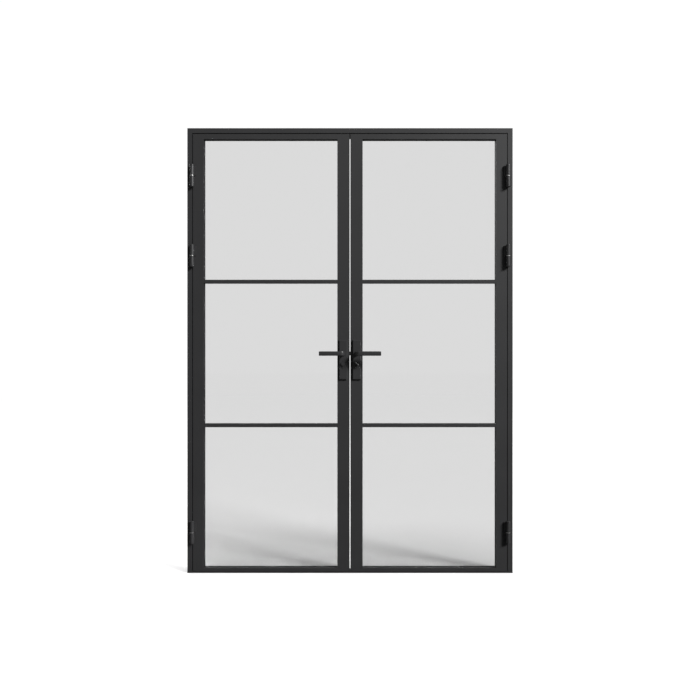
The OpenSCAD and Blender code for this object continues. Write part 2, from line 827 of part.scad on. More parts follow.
module deadbolt() {
    deadbolt_len = deadbolt_throw + deadbolt_hold;
    color(bare_steel) block([leaf_x0, -latch_t / 2, cylinder_z - deadbolt_h / 2],
                            [leaf_x0 + deadbolt_len, latch_t / 2, cylinder_z + deadbolt_h / 2]);
}

// Cylinder of the active leaf, bored at the front for the stem of the thumb-turn
module right_cylinder() {
    color(bare_steel) difference() {
        extrude_y(plate_y - cylinder_proud, -plate_y + cylinder_proud) cylinder_outline(0);
        rod_y(lever_x, cylinder_z, plate_y - cylinder_proud - 1, plate_y + turn_stem_len + 1,
              turn_stem_r + running);
    }
}

// Blank cylinder of the passive leaf, with a round cap at the front
module left_cylinder() {
    cap_proud = 7;
    cap_clear = 0.5;
    color(bare_steel) left_side() {
        extrude_y(plate_y - cylinder_proud, -plate_y + cylinder_proud) cylinder_outline(0);
        rod_y(lever_x, cylinder_z, plate_y - cap_proud, plate_y - cap_clear, cylinder_r + cap_over);
    }
}

// Thumb-turn: a round base, a blade at 45 degrees and a stem
module thumb_turn() {
    base_r = cylinder_r + cap_over;
    base_t = 4;
    blade_len = 27;
    blade_w = 6.5;
    blade_h = 12;
    blade_corner_r = 3;
    turn_y = plate_y - cylinder_proud - soft_gap;
    color(coat) {
        rod_y(lever_x, cylinder_z, turn_y - base_t, turn_y, base_r);
        rod_y(lever_x, cylinder_z, turn_y - base_t, plate_y + turn_stem_len, turn_stem_r);
        translate([lever_x, 0, cylinder_z]) rotate([0, 45, 0])
            extrude_y(turn_y - base_t - blade_h, turn_y - base_t + 1)
                rounded([-blade_len / 2, -blade_w / 2], [blade_len / 2, blade_w / 2], blade_corner_r);
    }
}

// ---------- shoot bolts ----------

module upper_bolt() {
    color(bare_steel) translate([bolt_x, 0, 0]) {
        translate([0, 0, case_z1 - rod_hold])
            cylinder(h = leaf_z1 - bolt_len - case_z1 + rod_hold + 1, r = rod_r);
        translate([0, 0, leaf_z1 - bolt_len]) cylinder(h = bolt_len + bolt_throw - bolt_hide, r = bolt_r);
    }
}

module lower_bolt() {
    color(bare_steel) translate([bolt_x, 0, 0]) {
        translate([0, 0, bolt_len]) cylinder(h = case_z0 + rod_hold - bolt_len, r = rod_r);
        translate([0, 0, bolt_floor_gap]) cylinder(h = bolt_len, r = bolt_r);
    }
}

// Blocks in the ends of the passive meeting stile that guide the shoot bolts
module left_bolt_guides() {
    color(rubber_black) left_side() for (z = [leaf_z0 + guide_inset, leaf_z1 - guide_inset - guide_h]) {
        difference() {
            block([leaf_x0 + edge_wall + slip, front_y + leaf_wall + slip, z],
                  [web_x - slip, back_y - leaf_wall - slip, z + guide_h]);
            translate([bolt_x, 0, z - 1]) cylinder(h = guide_h + 2, r = bolt_r + running);
        }
    }
}

// ---------- nodes ----------

left_jamb();
right_jamb();
head();
threshold();
frame_corner_keys();
frame_seals();
frame_hinge_knuckles();
hinge_pins();
hinge_washers();
head_keeper();
floor_keeper();
head_keeper_screws();

left_side() hinge_stile();  // left_hinge_stile
left_side() meeting_stile(case_z0, case_z1);  // left_meeting_stile
left_side() top_rail();  // left_top_rail
left_side() bottom_rail();  // left_bottom_rail
left_side() glazing_bars();  // left_glazing_bars
left_side() panes();  // left_panes
left_side() glazing_beads();  // left_glazing_beads
left_side() glazing_gaskets();  // left_glazing_gaskets
left_side() corner_cleats();  // left_corner_cleats
left_hinge_knuckles();
left_gearbox();
left_strike();
left_side() edge_screws();  // left_strike_screws
left_bolt_guides();
left_side() front_plate();  // left_front_plate
left_side() rear_plate();  // left_rear_plate
left_side() plate_bolts();  // left_plate_bolts
left_cylinder();
left_side() front_lever();  // left_front_lever
left_side() rear_lever();  // left_rear_lever
left_side() spindle();  // left_spindle
left_side() follower();  // left_follower
left_side() upper_bolt();  // left_upper_bolt
left_side() lower_bolt();  // left_lower_bolt

hinge_stile();  // right_hinge_stile
meeting_stile(case_z0, case_z1);  // right_meeting_stile
top_rail();  // right_top_rail
bottom_rail();  // right_bottom_rail
glazing_bars();  // right_glazing_bars
panes();  // right_panes
glazing_beads();  // right_glazing_beads
glazing_gaskets();  // right_glazing_gaskets
corner_cleats();  // right_corner_cleats
right_hinge_knuckles();
right_lock_case();
right_faceplate();
edge_screws();  // right_faceplate_screws
front_plate();  // right_front_plate
rear_plate();  // right_rear_plate
plate_bolts();  // right_plate_bolts
right_cylinder();
front_lever();  // right_front_lever
rear_lever();  // right_rear_lever
spindle();  // right_spindle
follower();  // right_follower
latch();
deadbolt();
thumb_turn();
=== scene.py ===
# Pair of glazed french doors in their slim metal frame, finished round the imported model.
import math

import bmesh
import bpy
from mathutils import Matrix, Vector


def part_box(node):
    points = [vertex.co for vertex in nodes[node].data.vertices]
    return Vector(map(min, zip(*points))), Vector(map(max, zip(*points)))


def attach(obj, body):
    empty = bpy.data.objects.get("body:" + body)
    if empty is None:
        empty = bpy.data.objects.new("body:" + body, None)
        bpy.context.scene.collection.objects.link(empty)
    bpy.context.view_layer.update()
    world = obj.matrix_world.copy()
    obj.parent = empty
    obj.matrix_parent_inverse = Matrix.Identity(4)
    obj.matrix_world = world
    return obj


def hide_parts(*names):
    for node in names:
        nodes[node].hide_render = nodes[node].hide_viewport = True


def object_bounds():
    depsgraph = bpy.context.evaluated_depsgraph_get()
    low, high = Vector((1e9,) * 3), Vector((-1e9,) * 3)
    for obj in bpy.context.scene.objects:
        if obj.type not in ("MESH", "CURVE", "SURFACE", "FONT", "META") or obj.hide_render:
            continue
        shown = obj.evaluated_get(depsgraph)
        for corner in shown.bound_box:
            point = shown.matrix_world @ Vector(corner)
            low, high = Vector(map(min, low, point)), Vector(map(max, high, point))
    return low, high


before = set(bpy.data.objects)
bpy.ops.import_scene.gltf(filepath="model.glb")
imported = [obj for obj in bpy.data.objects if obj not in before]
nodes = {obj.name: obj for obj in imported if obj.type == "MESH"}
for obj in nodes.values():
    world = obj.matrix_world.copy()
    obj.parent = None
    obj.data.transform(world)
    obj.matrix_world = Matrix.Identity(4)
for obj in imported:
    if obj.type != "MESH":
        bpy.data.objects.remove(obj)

cad_box = [list(corner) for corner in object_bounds()]


# ---------------------------------------------------------------------------------------------
# Camera. It stands level in front of the doors, at lever height, and far enough back that the
# inner edges of the stiles only just show.
CAMERA_HEIGHT = 1.0526
CAMERA_DISTANCE = 3.5   # from the front face of the leaves
VIEW_WIDTH = 3.305      # what the picture spans at that face
face_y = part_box("left_meeting_stile")[0][1]
camera_data = bpy.data.cameras.new("view_camera")
camera_data.sensor_width = 36.0
camera_data.lens = camera_data.sensor_width * CAMERA_DISTANCE / VIEW_WIDTH
camera_data.clip_end = 100.0
camera = bpy.data.objects.new("view_camera", camera_data)
camera.location = (0.0, face_y - CAMERA_DISTANCE, CAMERA_HEIGHT)
camera.rotation_euler = (math.radians(90.0), 0.0, 0.0)
bpy.context.collection.objects.link(camera)
bpy.context.scene.camera = camera


# ---------------------------------------------------------------------------------------------
# Frame: the jambs and the head are hollow sections folded from 2 mm steel sheet, and the
# threshold is a flat steel plate. They are blasted and then coated with charcoal polyester powder,
# which leaves a fine orange peel, a dry sheen and slightly round edges.
MM = 0.001
COAT_DRIFT = 260 * MM    # over which the film gets thicker and thinner


def linear(hex_colour):
    """An sRGB hex colour such as "#383838" as linear RGBA."""
    channels = [int(hex_colour[i:i + 2], 16) / 255.0 for i in (1, 3, 5)]
    return [c / 12.92 if c <= 0.04045 else ((c + 0.055) / 1.055) ** 2.4 for c in channels] + [1.0]


def add_node(material, kind, links=None, **settings):
    """Adds a shader node. links gives the output that feeds each input. A setting whose name is an
    input's sets that input, and any other sets the node's own property."""
    shader_node = material.node_tree.nodes.new(kind)
    for name, value in settings.items():
        label = name.replace("_", " ")
        if label in shader_node.inputs:
            shader_node.inputs[label].default_value = value
        else:
            setattr(shader_node, name, value)
    for label, source in (links or {}).items():
        material.node_tree.links.new(source, shader_node.inputs[label])
    return shader_node


def new_material(name, **constants):
    """An empty material and its Principled shader."""
    material = bpy.data.materials.new(name)
    material.use_nodes = True
    shader = material.node_tree.nodes["Principled BSDF"]
    for label, value in constants.items():
        shader.inputs[label.replace("_", " ")].default_value = value
    return material, shader


def colour_between(material, factor, dark, light):
    """A colour that runs between two hex colours as a noise rises through its middle third."""
    ramp = add_node(material, "ShaderNodeValToRGB", {"Fac": factor})
    for stop, position, colour in zip(ramp.color_ramp.elements, (0.35, 0.65), (dark, light)):
        stop.position = position
        stop.color = linear(colour)
    return ramp.outputs["Color"]


def powder_coat(name, dark, light, peel_mm, peel_depth_mm, roughness):
    """Polyester powder coat: orange peel, and a tone that drifts as the film gets thicker."""
    material, shader = new_material(name)
    link = material.node_tree.links.new
    place = add_node(material, "ShaderNodeTexCoord").outputs["Object"]
    drift = add_node(material, "ShaderNodeTexNoise", {"Vector": place}, Scale=1 / COAT_DRIFT, Detail=4.0)
    peel = add_node(material, "ShaderNodeTexNoise", {"Vector": place}, Scale=1 / (peel_mm * MM), Detail=3.0)
    mixed = add_node(material, "ShaderNodeMath", {0: drift.outputs["Fac"], 1: peel.outputs["Fac"]},
                     operation="ADD")
    halved = add_node(material, "ShaderNodeMath", {0: mixed.outputs[0]}, operation="MULTIPLY")
    halved.inputs[1].default_value = 0.5
    link(colour_between(material, halved.outputs[0], dark, light), shader.inputs["Base Color"])
    gloss = add_node(material, "ShaderNodeMapRange", {"Value": peel.outputs["Fac"]},
                     From_Min=0.3, From_Max=0.7, To_Min=roughness - 0.05, To_Max=roughness + 0.07)
    link(gloss.outputs["Result"], shader.inputs["Roughness"])
    bump = add_node(material, "ShaderNodeBump", {"Height": peel.outputs["Fac"]},
                    Strength=0.5, Distance=peel_depth_mm * MM)
    link(bump.outputs["Normal"], shader.inputs["Normal"])
    return material


def soften(node_name, radius_mm, segments=2):
    """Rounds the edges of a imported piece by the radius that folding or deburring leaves."""
    edge = nodes[node_name].modifiers.new("edge_radius", "BEVEL")
    edge.width = radius_mm * MM
    edge.segments = segments
    edge.limit_method = "ANGLE"
    edge.angle_limit = math.radians(40.0)
    edge.harden_normals = True


def finish_node(node_name, material):
    """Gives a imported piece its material."""
    piece = nodes[node_name]
    piece.data.materials.clear()
    piece.data.materials.append(material)


# Real orange peel is about 0.5 mm across. It is drawn at 2.5 mm here, and at 1.8 mm on the
# hardware, so that it still shows.
charcoal_powder_coat = powder_coat("charcoal_powder_coat", "#202021", "#272728",
                                   peel_mm=2.5, peel_depth_mm=0.05, roughness=0.5)
# Feet rub the threshold duller and a little paler than the rest.
scuffed_powder_coat = powder_coat("scuffed_powder_coat", "#222223", "#2e2e2f",
                                  peel_mm=2.5, peel_depth_mm=0.05, roughness=0.78)
for name, coat in (("left_jamb", charcoal_powder_coat), ("right_jamb", charcoal_powder_coat),
                   ("head", charcoal_powder_coat), ("threshold", scuffed_powder_coat)):
    finish_node(name, coat)
    soften(name, 0.8)


# ---------------------------------------------------------------------------------------------
# Corner keys and cleats: blocks sawn from extruded aluminium bar, left in the mill finish with
# its fine die lines. They are screwed inside the ends of the hollow sections.
LINES_ALONG_X = (0.02, 1.0, 1.0)


def drawn_metal(name, dark, light, line_mm, roughness, stretch):
    """Bare metal with fine lines, drawn out along the axis that the pattern is stretched on."""
    material, shader = new_material(name, Metallic=1.0)
    link = material.node_tree.links.new
    place = add_node(material, "ShaderNodeTexCoord").outputs["Object"]
    drawn = add_node(material, "ShaderNodeMapping", {"Vector": place}, Scale=stretch)
    lines = add_node(material, "ShaderNodeTexNoise", {"Vector": drawn.outputs["Vector"]},
                     Scale=1 / (line_mm * MM), Detail=3.0)
    link(colour_between(material, lines.outputs["Fac"], dark, light), shader.inputs["Base Color"])
    gloss = add_node(material, "ShaderNodeMapRange", {"Value": lines.outputs["Fac"]},
                     From_Min=0.3, From_Max=0.7, To_Min=roughness - 0.05, To_Max=roughness + 0.08)
    link(gloss.outputs["Result"], shader.inputs["Roughness"])
    bump = add_node(material, "ShaderNodeBump", {"Height": lines.outputs["Fac"]},
                    Strength=0.3, Distance=0.03 * MM)
    link(bump.outputs["Normal"], shader.inputs["Normal"])
    return material


mill_aluminium = drawn_metal("mill_finish_aluminium", "#a9abac", "#cdcfd0",
                             line_mm=0.8, roughness=0.4, stretch=LINES_ALONG_X)
for name in ("frame_corner_keys", "left_corner_cleats", "right_corner_cleats"):
    finish_node(name, mill_aluminium)
    soften(name, 0.3)


# ---------------------------------------------------------------------------------------------
# Seals and gaskets: extruded EPDM rubber, pressed on the stops of the frame and on both sides of
# each pane. It is soft black and dry, with a faint grey bloom.
def extruded_rubber(name, dark, bloom, roughness):
    """Matt black rubber."""
    material, shader = new_material(name, Roughness=roughness)
    shader.inputs["Specular IOR Level"].default_value = 0.3
    link = material.node_tree.links.new
    place = add_node(material, "ShaderNodeTexCoord").outputs["Object"]
    cloud = add_node(material, "ShaderNodeTexNoise", {"Vector": place}, Scale=1 / (12 * MM), Detail=4.0)
    link(colour_between(material, cloud.outputs["Fac"], dark, bloom), shader.inputs["Base Color"])
    bump = add_node(material, "ShaderNodeBump", {"Height": cloud.outputs["Fac"]},
                    Strength=0.3, Distance=0.2 * MM)
    link(bump.outputs["Normal"], shader.inputs["Normal"])
    return material


epdm_rubber = extruded_rubber("extruded_epdm_rubber", "#0d0d0d", "#181818", 0.75)
for name in ("frame_seals", "left_glazing_gaskets", "right_glazing_gaskets"):
    finish_node(name, epdm_rubber)


# ---------------------------------------------------------------------------------------------
# Leaves: hollow steel stiles and rails and solid tee glazing bars, welded, ground flush and given
# the same powder coat as the frame. The beads that close the glazing groove at the back match.
for side in ("left", "right"):
    for part in ("hinge_stile", "meeting_stile", "top_rail", "bottom_rail", "glazing_bars"):
        finish_node(f"{side}_{part}", charcoal_powder_coat)
        soften(f"{side}_{part}", 0.6)
    finish_node(f"{side}_glazing_beads", charcoal_powder_coat)


# ---------------------------------------------------------------------------------------------
# Panes: two sheets of float glass with a neutral grey interlayer, 8 mm in all. What is behind
# shows clearly but a shade darker, and the long roller waves of the float bath just stir it.
def laminated_glass(name, tint, shadow_tint):
    """Grey laminated glass that lets lamps through, so that what stands behind it is lit."""
    material, shader = new_material(name, Roughness=0.0, IOR=1.52)
    shader.inputs["Transmission Weight"].default_value = 1.0
    shader.inputs["Base Color"].default_value = linear(tint)
    link = material.node_tree.links.new
    place = add_node(material, "ShaderNodeTexCoord").outputs["Object"]
    wave = add_node(material, "ShaderNodeTexNoise", {"Vector": place}, Scale=1 / (400 * MM), Detail=1.0)
    bump = add_node(material, "ShaderNodeBump", {"Height": wave.outputs["Fac"]},
                    Strength=0.02, Distance=0.3 * MM)
    link(bump.outputs["Normal"], shader.inputs["Normal"])
    through = add_node(material, "ShaderNodeBsdfTransparent", Color=linear(shadow_tint))
    ray = add_node(material, "ShaderNodeLightPath").outputs["Is Shadow Ray"]
    mix = add_node(material, "ShaderNodeMixShader",
                   {0: ray, 1: shader.outputs["BSDF"], 2: through.outputs["BSDF"]})
    link(mix.outputs["Shader"], material.node_tree.nodes["Material Output"].inputs["Surface"])
    return material


grey_laminated_glass = laminated_glass("grey_laminated_glass", "#e0e0e0", "#e4e4e4")
for name in ("left_panes", "right_panes"):
    finish_node(name, grey_laminated_glass)


# ---------------------------------------------------------------------------------------------
# Hinges: lift-off barrel hinges turned from steel bar, welded on and powder coated, three to a
# leaf. The pins and the washers between the knuckles are ground steel and stay bright.
satin_charcoal_coat = powder_coat("satin_charcoal_coat", "#262627", "#2e2e2f",
                                  peel_mm=1.8, peel_depth_mm=0.03, roughness=0.36)
for name in ("frame_hinge_knuckles", "left_hinge_knuckles", "right_hinge_knuckles"):
    finish_node(name, satin_charcoal_coat)
    soften(name, 0.4)

LINES_ALONG_Z = (1.0, 1.0, 0.05)
ground_steel = drawn_metal("ground_steel", "#d2d2d0", "#ececea",
                           line_mm=0.4, roughness=0.32, stretch=LINES_ALONG_Z)
for name in ("hinge_pins", "hinge_washers"):
    finish_node(name, ground_steel)


# ---------------------------------------------------------------------------------------------
# Lock, gearbox, strike, keepers and bolts: pressed and machined steel, zinc plated, with the
# faint cloudy bloom of the plating bath. The guides of the shoot bolts are moulded black nylon.
def zinc_plate(name, dark, light, roughness):
    """Zinc-plated steel with a cloudy tone."""
    material, shader = new_material(name, Metallic=1.0)
    link = material.node_tree.links.new
    place = add_node(material, "ShaderNodeTexCoord").outputs["Object"]
    cloud = add_node(material, "ShaderNodeTexNoise", {"Vector": place}, Scale=1 / (20 * MM), Detail=5.0)
    link(colour_between(material, cloud.outputs["Fac"], dark, light), shader.inputs["Base Color"])
    gloss = add_node(material, "ShaderNodeMapRange", {"Value": cloud.outputs["Fac"]},
                     To_Min=roughness - 0.08, To_Max=roughness + 0.1)
    link(gloss.outputs["Result"], shader.inputs["Roughness"])
    return material


zinc_plated_steel = zinc_plate("zinc_plated_steel", "#8b8c8a", "#acada9", 0.38)
for name in ("left_gearbox", "left_strike", "left_strike_screws", "left_plate_bolts",
             "left_spindle", "left_follower", "left_upper_bolt", "left_lower_bolt",
             "right_lock_case", "right_faceplate", "right_faceplate_screws", "right_plate_bolts",
             "right_spindle", "right_follower", "latch", "deadbolt",
             "head_keeper", "floor_keeper", "head_keeper_screws"):
    finish_node(name, zinc_plated_steel)
    soften(name, 0.3)

moulded_nylon = extruded_rubber("moulded_black_nylon", "#101010", "#1a1a1a", 0.5)
finish_node("left_bolt_guides", moulded_nylon)


# ---------------------------------------------------------------------------------------------
# Screws and through bolts: countersunk, cold-headed steel with a hexagon socket pressed into the
# head, zinc plated. The heads sit flush in the plates, strips and keeper that they hold.
def skin(mesh, rings):
    """Closes a run of rings of points into one solid skin, with a cap on each end."""
    for ring, following in zip(rings, rings[1:]):
        for step in range(len(ring)):
            beside = (step + 1) % len(ring)
            mesh.faces.new((ring[step], ring[beside], following[beside], following[step]))
    mesh.faces.new(rings[0])
    mesh.faces.new(rings[-1])


def socket_screw(mesh, head_at, direction, head_r, shank_r, length):
    """Adds a countersunk screw to a mesh, from the middle of its head in the given direction."""
    sides = 36
    socket_r = 0.55 * head_r    # to the corners of the hexagon
    socket_depth = 0.5 * head_r
    chamfer = 0.25 * shank_r
    edge_break = 0.3 * chamfer
    turn = Vector((0.0, 0.0, 1.0)).rotation_difference(Vector(direction))
    rings = []

    def ring(depth, radius, hexagon=False):
        points = []
        for step in range(sides):
            angle = 2 * math.pi * step / sides
            reach = radius
            if hexagon:
                reach = radius * math.cos(math.pi / 6) / math.cos(angle % (math.pi / 3) - math.pi / 6)
            spot = Vector((reach * math.cos(angle), reach * math.sin(angle), depth))
            points.append(mesh.verts.new(Vector(head_at) + turn @ spot))
        rings.append(points)

    ring(socket_depth, 0.85 * socket_r, hexagon=True)
    ring(edge_break, socket_r, hexagon=True)
    ring(0.0, 1.08 * socket_r, hexagon=True)
    ring(0.0, head_r - edge_break)
    ring(0.5 * chamfer, head_r)
    ring(head_r - shank_r, shank_r)
    ring(length - chamfer, shank_r)
    ring(length, shank_r - chamfer)
    skin(mesh, rings)


def add_piece(name, mesh, material, body, replaced):
    """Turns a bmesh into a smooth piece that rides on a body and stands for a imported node."""
    bmesh.ops.recalc_face_normals(mesh, faces=mesh.faces)
    for face in mesh.faces:
        face.smooth = True
    data = bpy.data.meshes.new(name)
    mesh.to_mesh(data)
    mesh.free()
    data.set_sharp_from_angle(angle=math.radians(35.0))
    data.materials.append(material)
    piece = bpy.data.objects.new(name, data)
    bpy.context.collection.objects.link(piece)
    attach(piece, body)
    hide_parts(replaced)


# Each pair of screws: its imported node, the body that it rides on, the way that the screws point,
# the axis along which they are spaced, and how thick the shank is beside the head.
X_AXIS = 0
Z_AXIS = 2
for node_name, body, direction, spaced, shank_share in (
        ("left_plate_bolts", "left_leaf", (0, -1, 0), Z_AXIS, 0.5),
        ("right_plate_bolts", "right_leaf", (0, -1, 0), Z_AXIS, 0.5),
        ("left_strike_screws", "left_leaf", (-1, 0, 0), Z_AXIS, 0.556),
        ("right_faceplate_screws", "right_leaf", (1, 0, 0), Z_AXIS, 0.556),
        ("head_keeper_screws", "frame", (0, 0, 1), X_AXIS, 0.5)):
    low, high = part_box(node_name)
    along = [abs(step) for step in direction].index(1)
    across = 3 - along - spaced    # the axis that is left
    head_r = (high[across] - low[across]) / 2
    head_at = [0.0, 0.0, 0.0]
    head_at[along] = low[along] if direction[along] > 0 else high[along]
    head_at[across] = (low[across] + high[across]) / 2
    screws = bmesh.new()
    for place in (low[spaced] + head_r, high[spaced] - head_r):
        head_at[spaced] = place
        socket_screw(screws, head_at, direction, head_r, shank_share * head_r, high[along] - low[along])
    add_piece(f"{node_name}_socket_heads", screws, zinc_plated_steel, body, node_name)


# ---------------------------------------------------------------------------------------------
# Handle plates and cylinders: die-cast zinc with a satin charcoal coat, smoother than the frame's.
# Two bolts clamp each pair of plates through the leaf, and the cylinder passes between them.
for side in ("left", "right"):
    for part in ("front_plate", "rear_plate", "cylinder"):
        finish_node(f"{side}_{part}", satin_charcoal_coat)
        soften(f"{side}_{part}", 0.6, 3)


# ---------------------------------------------------------------------------------------------
# Levers: die-cast in one piece with their necks. The round neck flattens as it turns through the
# elbow into a bar with softly crowned sides, and the tip is rounded over.
NECK_STRAIGHT = 16 * MM      # of the round neck before it starts to flatten
NECK_CHAMFER = 0.4 * MM
ELBOW_R = 11 * MM            # at the middle of the bar
BAR_THICK = 12 * MM
TIP_ROUNDING = 3 * MM
ROUND = 2.0                  # squareness of a circle
CROWNED_BAR = 4.6            # squareness of the bar's section


def rounded_outline(squareness, sides=56):
    """Unit points round an outline: a circle, or a rounded square where the squareness is above 2."""
    points = []
    for step in range(sides):
        angle = 2 * math.pi * step / sides
        over = math.copysign(abs(math.cos(angle)) ** (2 / squareness), math.cos(angle))
        up = math.copysign(abs(math.sin(angle)) ** (2 / squareness), math.sin(angle))
        points.append((over, up))
    return points


def lever_stations(neck_r, neck_reach, bar_len, half_height, half_depth):
    """Sections from the root of the neck to the tip: place along the bar, place outwards, turn,
    half height, half depth and squareness."""
    elbow_out = neck_reach - half_depth - ELBOW_R
    root_r = neck_r - NECK_CHAMFER
    along_bar = 0.5 * math.pi
    stations = [(0.0, 0.0, 0.0, root_r, root_r, ROUND),
                (0.0, NECK_CHAMFER, 0.0, neck_r, neck_r, ROUND),
                (0.0, NECK_STRAIGHT, 0.0, neck_r, neck_r, ROUND)]
    flatten_steps = 8
    for step in range(1, flatten_steps + 1):
        share = step / flatten_steps
        ease = share * share * (3 - 2 * share)
        out = NECK_STRAIGHT + share * (elbow_out - NECK_STRAIGHT)
        stations.append((0.0, out, 0.0, neck_r + ease * (half_height - neck_r),
                         neck_r + ease * (half_depth - neck_r), ROUND + (CROWNED_BAR - ROUND) * ease))
    bend_steps = 14
    for step in range(1, bend_steps + 1):
        turn = along_bar * step / bend_steps
        stations.append((ELBOW_R * (1 - math.cos(turn)), elbow_out + ELBOW_R * math.sin(turn), turn,
                         half_height, half_depth, CROWNED_BAR))
    bar_out = neck_reach - half_depth
    stations.append((bar_len - TIP_ROUNDING, bar_out, along_bar, half_height, half_depth, CROWNED_BAR))
    tip_steps = 5
    for step in range(1, tip_steps + 1):
        rounding = along_bar * step / tip_steps
        pulled_in = 0.8 * TIP_ROUNDING * (1 - math.cos(rounding))
        stations.append((bar_len - TIP_ROUNDING * (1 - math.sin(rounding)), bar_out, along_bar,
                         half_height - pulled_in, half_depth - pulled_in, CROWNED_BAR))
    return stations


def cast_lever(side, place):
    """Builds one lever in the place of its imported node."""
    node_name = f"{side}_{place}_lever"
    low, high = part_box(node_name)
    spindle_low, spindle_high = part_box(f"{side}_spindle")
    axis_x = (spindle_low[0] + spindle_high[0]) / 2
    axis_z = (spindle_low[2] + spindle_high[2]) / 2
    bar_sign = -1 if side == "left" else 1
    out_sign = -1 if place == "front" else 1
    root_y = high[1] if place == "front" else low[1]
    inner_x = high[0] if side == "left" else low[0]
    tip_x = low[0] if side == "left" else high[0]
    stations = lever_stations(abs(inner_x - axis_x), high[1] - low[1], abs(tip_x - axis_x),
                              (high[2] - low[2]) / 2, BAR_THICK / 2)
    lever = bmesh.new()
    rings = []
    for bar, out, turn, half_height, half_depth, squareness in stations:
        ring = []
        for over, up in rounded_outline(squareness):
            ring.append(lever.verts.new((
                axis_x + bar_sign * (bar + half_depth * over * math.cos(turn)),
                root_y + out_sign * (out - half_depth * over * math.sin(turn)),
                axis_z + half_height * up)))
        rings.append(ring)
    skin(lever, rings)
    add_piece(f"{node_name}_casting", lever, satin_charcoal_coat, f"{side}_lever",
              node_name)


for side in ("left", "right"):
    for place in ("front", "rear"):
        cast_lever(side, place)


# ---------------------------------------------------------------------------------------------
# Thumb-turn: die-cast with its stem. A round base covers the cylinder, and a waisted grip with a
# crowned end stands on it, leaning halfway between level and upright while the bolt is drawn.
GRIP_LEN = 27 * MM
GRIP_WIDTH = 6.5 * MM
GRIP_LEAN = math.radians(45.0)
GRIP_CROWN_R = 1.6 * MM
GRIP_SQUARENESS = 4.0
GRIP_FOOT_INSET = 2.4 * MM     # from the rim of the base in to the foot of the grip
TURN_BASE_THICK = 4 * MM
TURN_BASE_OVER = 1 * MM        # how far the base covers the plate round the cylinder
TURN_BASE_GAP = 0.3 * MM       # from the base to the cylinder
TURN_BASE_EDGE = 0.3 * MM
TURN_RIM_R = 1.2 * MM
TURN_STEM_R = 3 * MM
cylinder_low, cylinder_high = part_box("right_cylinder")
turn_low, turn_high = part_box("thumb_turn")
turn_x = (turn_low[0] + turn_high[0]) / 2
turn_z = (turn_low[2] + turn_high[2]) / 2


def thumb_turn_rings():
    """Sections from the end of the stem to the crown of the grip: place in depth, half length
    along the grip, half width across it, and squareness."""
    base_r = (cylinder_high[0] - cylinder_low[0]) / 2 + TURN_BASE_OVER
    base_back = cylinder_low[1] - TURN_BASE_GAP
    base_front = base_back - TURN_BASE_THICK
    stem_end_r = 0.85 * TURN_STEM_R
    back_r = base_r - TURN_BASE_EDGE
    sections = [(turn_high[1], stem_end_r, stem_end_r, ROUND),
                (turn_high[1] - 0.5 * MM, TURN_STEM_R, TURN_STEM_R, ROUND),
                (base_back, TURN_STEM_R, TURN_STEM_R, ROUND),
                (base_back, back_r, back_r, ROUND),
                (base_back - TURN_BASE_EDGE, base_r, base_r, ROUND)]
    steps = 6
    quarter = 0.5 * math.pi
    for step in range(steps + 1):
        turn = quarter * step / steps
        reach = base_r - TURN_RIM_R * (1 - math.cos(turn))
        sections.append((base_front + TURN_RIM_R * (1 - math.sin(turn)), reach, reach, ROUND))
    half_long = GRIP_LEN / 2
    half_wide = GRIP_WIDTH / 2
    foot_long = base_r - GRIP_FOOT_INSET
    sections.append((base_front, foot_long, 1.15 * half_wide, GRIP_SQUARENESS - 1))
    spread_height = 0.55 * (base_front - turn_low[1])
    for step in range(1, steps + 1):
        share = step / steps
        spread = math.sin(quarter * share)
        waist = 1 - 0.14 * math.sin(math.pi * share)
        sections.append((base_front - spread_height * share, foot_long + spread * (half_long - foot_long),
                         half_wide * waist, GRIP_SQUARENESS - 1 + share))
    for step in range(steps + 1):
        turn = quarter * step / steps
        pulled_in = GRIP_CROWN_R * (1 - math.cos(turn))
        sections.append((turn_low[1] + GRIP_CROWN_R * (1 - math.sin(turn)), half_long - pulled_in,
                         half_wide - pulled_in, GRIP_SQUARENESS))
    return sections


thumb_turn_mesh = bmesh.new()
rings = []
for depth, half_length, half_width, squareness in thumb_turn_rings():
    ring = []
    for over, up in rounded_outline(squareness):
        along = half_length * over
        across = half_width * up
        ring.append(thumb_turn_mesh.verts.new((
            turn_x + along * math.cos(GRIP_LEAN) + across * math.sin(GRIP_LEAN), depth,
            turn_z - along * math.sin(GRIP_LEAN) + across * math.cos(GRIP_LEAN))))
    rings.append(ring)
skin(thumb_turn_mesh, rings)
add_piece("thumb_turn_casting", thumb_turn_mesh, satin_charcoal_coat, "thumb_turn",
          "thumb_turn")


# ---------------------------------------------------------------------------------------------
# Studio: white surroundings and a pale matt floor, a soft key light from the upper right in
# front, a nearer softbox beside it, and a weak light from behind for the back of the doors.
WHITE = 1.02    # just past full white, so that the far floor and the surroundings meet unseen


def by_ray(material, seen, through_glass, bounced):
    """One value as seen directly, one through glass, and one for light that has bounced."""
    path = add_node(material, "ShaderNodeLightPath").outputs
    bounces = add_node(material, "ShaderNodeMath", {0: path["Diffuse Depth"], 1: path["Glossy Depth"]},
                       operation="ADD")
    straight = add_node(material, "ShaderNodeMapRange", {"Value": path["Transmission Depth"]},
                        From_Max=1.0, To_Min=seen, To_Max=through_glass)
    level = add_node(material, "ShaderNodeMix", {0: bounces.outputs[0], 2: straight.outputs["Result"]})
    level.inputs[3].default_value = bounced
    return level.outputs[0]


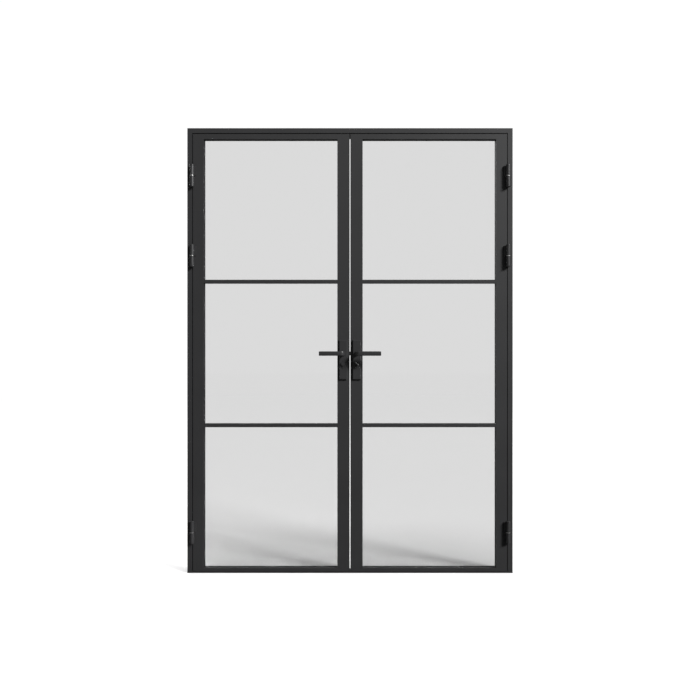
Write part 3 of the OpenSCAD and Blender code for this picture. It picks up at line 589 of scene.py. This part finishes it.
def pale_floor(name, painted_shade_reach, fade_start, fade_end):
    """White floor that glows, with a painted contact shade: ambient occlusion dims the glow where something
    stands on it, more deeply as seen through glass, and the glow fades into the white surroundings far off.
    Its bounce is kept low, so that what faces down stays dark."""
    material, shader = new_material(name, Roughness=0.9)
    shader.inputs["Specular IOR Level"].default_value = 0.0
    link = material.node_tree.links.new
    place = add_node(material, "ShaderNodeTexCoord").outputs["Object"]
    away = add_node(material, "ShaderNodeVectorMath", {0: place}, operation="LENGTH").outputs["Value"]
    far = add_node(material, "ShaderNodeMapRange", {"Value": away}, From_Min=fade_start, From_Max=fade_end,
                   interpolation_type="SMOOTHSTEP").outputs["Result"]
    near_tone = by_ray(material, seen=0.35, through_glass=0.3, bounced=0.05)
    tone = add_node(material, "ShaderNodeMix", {0: far, 2: near_tone})
    paint = add_node(material, "ShaderNodeCombineColor")
    for channel in ("Red", "Green", "Blue"):
        link(tone.outputs[0], paint.inputs[channel])
    link(paint.outputs["Color"], shader.inputs["Base Color"])
    # Painted shade: ambient occlusion dims the floor's glow near the doors, faintly as seen directly and
    # deeply through the panes, in place of a cast contact shadow.
    painted_contact_shade = add_node(material, "ShaderNodeAmbientOcclusion", Distance=painted_shade_reach)
    painted_contact_shade.samples = 8
    depth = by_ray(material, seen=0.5, through_glass=1.5, bounced=1.0)
    shade = add_node(material, "ShaderNodeMath", {0: painted_contact_shade.outputs["AO"], 1: depth}, operation="POWER")
    near_light = by_ray(material, seen=0.85, through_glass=0.63, bounced=0.0)
    near_glow = add_node(material, "ShaderNodeMath", {0: shade.outputs[0], 1: near_light},
                         operation="MULTIPLY")
    far_glow = by_ray(material, seen=WHITE, through_glass=WHITE, bounced=0.0)
    glow = add_node(material, "ShaderNodeMix", {0: far, 2: near_glow.outputs[0], 3: far_glow})
    shader.inputs["Emission Color"].default_value = (1.0, 1.0, 1.0, 1.0)
    link(glow.outputs[0], shader.inputs["Emission Strength"])
    return material


FLOOR_SIZE = 60.0
half = FLOOR_SIZE / 2
floor_z = cad_box[0][2] - 0.5 * MM
floor_mesh = bpy.data.meshes.new("studio_floor")
floor_mesh.from_pydata([(-half, -half, floor_z), (half, -half, floor_z), (half, half, floor_z),
                        (-half, half, floor_z)], [], [(0, 1, 2, 3)])
floor_mesh.materials.append(pale_floor("matt_white_floor", painted_shade_reach=1.1, fade_start=2.5,
                                       fade_end=14.0))
floor = bpy.data.objects.new("studio_floor", floor_mesh)
bpy.context.collection.objects.link(floor)

world = bpy.data.worlds.new("white_studio")
bpy.context.scene.world = world
world.use_nodes = True
backdrop = world.node_tree.nodes["Background"]
backdrop.inputs["Color"].default_value = (1.0, 1.0, 1.0, 1.0)
surround = by_ray(world, seen=WHITE, through_glass=WHITE, bounced=0.14)
world.node_tree.links.new(surround, backdrop.inputs["Strength"])


def light_towards(name, kind, place, target, power, size):
    """A soft light that faces its target. size is a sun's spread in degrees, or a softbox's side."""
    light = bpy.data.lights.new(name, kind)
    light.energy = power
    if kind == "SUN":
        light.angle = math.radians(size)
    else:
        light.shape = "SQUARE"
        light.size = size
    lamp = bpy.data.objects.new(name, light)
    lamp.visible_camera = False
    lamp.visible_transmission = False
    lamp.location = place
    lamp.rotation_euler = (Vector(target) - Vector(place)).to_track_quat("-Z", "Y").to_euler()
    bpy.context.collection.objects.link(lamp)


middle = (0.0, 0.0, 1.1)
light_towards("key_light", "SUN", (5.4, -4.0, 5.4), middle, power=5.8, size=15.0)
light_towards("side_softbox", "AREA", (4.5, -4.2, 4.6), middle, power=30.0, size=1.4)
light_towards("back_light", "SUN", (-4.2, 5.2, 3.6), middle, power=1.5, size=20.0)
bpy.context.scene.view_settings.view_transform = "Standard"
